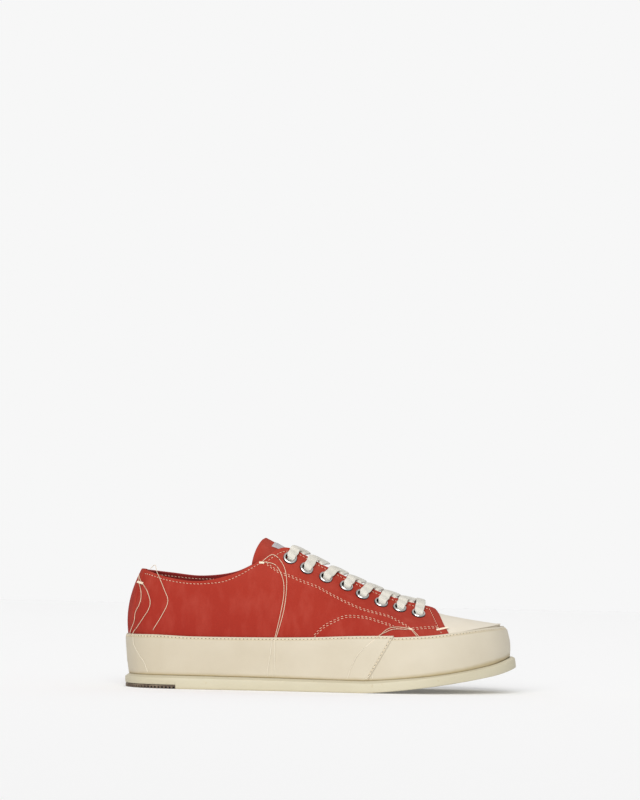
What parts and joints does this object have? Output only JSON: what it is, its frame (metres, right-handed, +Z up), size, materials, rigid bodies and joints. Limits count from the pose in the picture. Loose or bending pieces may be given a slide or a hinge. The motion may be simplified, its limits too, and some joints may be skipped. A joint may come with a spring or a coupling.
{
  "type": "sneaker",
  "caption": "Low-top lace-up sneaker, right shoe: suede quarters, leather toe, thick wrapped cup sole with a stepped rubber outsole and criss-cross flat laces.",
  "frame": {"origin": "on the floor under the middle of the shoe's length and width", "axes": "+X towards the toe, -Y the outer (lateral) side, +Z up"},
  "size_m": [0.3009, 0.1101, 0.116],
  "materials": {
    "suede": "napped red suede quarters; the toe and vamp part of the same solid is smooth cream leather",
    "tongue": "napped red suede",
    "sidewall": "smooth cream leather wrap, satin",
    "outsole": "moulded cream rubber, matt",
    "midsole": "foam core, hidden by the wall",
    "heel_insert": "hard dark rubber, ribbed",
    "insole": "cloth-topped foam",
    "label": "woven white tape, bare",
    "laces": "flat woven cotton",
    "eyelet": "bright nickel plate"
  },
  "bodies": {
    "root": {"outsole": "outsole", "heel_insert": "heel_insert", "midsole": "midsole", "sidewall_rear": "sidewall", "sidewall_toe": "sidewall", "insole": "insole", "upper": "suede", "tongue": "tongue", "tongue_label": "label", "laces": "laces", "eyelet_lateral_1": "eyelet", "eyelet_lateral_2": "eyelet", "eyelet_lateral_3": "eyelet", "eyelet_lateral_4": "eyelet", "eyelet_lateral_5": "eyelet", "eyelet_lateral_6": "eyelet", "eyelet_lateral_7": "eyelet", "eyelet_lateral_8": "eyelet", "eyelet_medial_1": "eyelet", "eyelet_medial_2": "eyelet", "eyelet_medial_3": "eyelet", "eyelet_medial_4": "eyelet", "eyelet_medial_5": "eyelet", "eyelet_medial_6": "eyelet", "eyelet_medial_7": "eyelet", "eyelet_medial_8": "eyelet"}
  },
  "joints": []
}
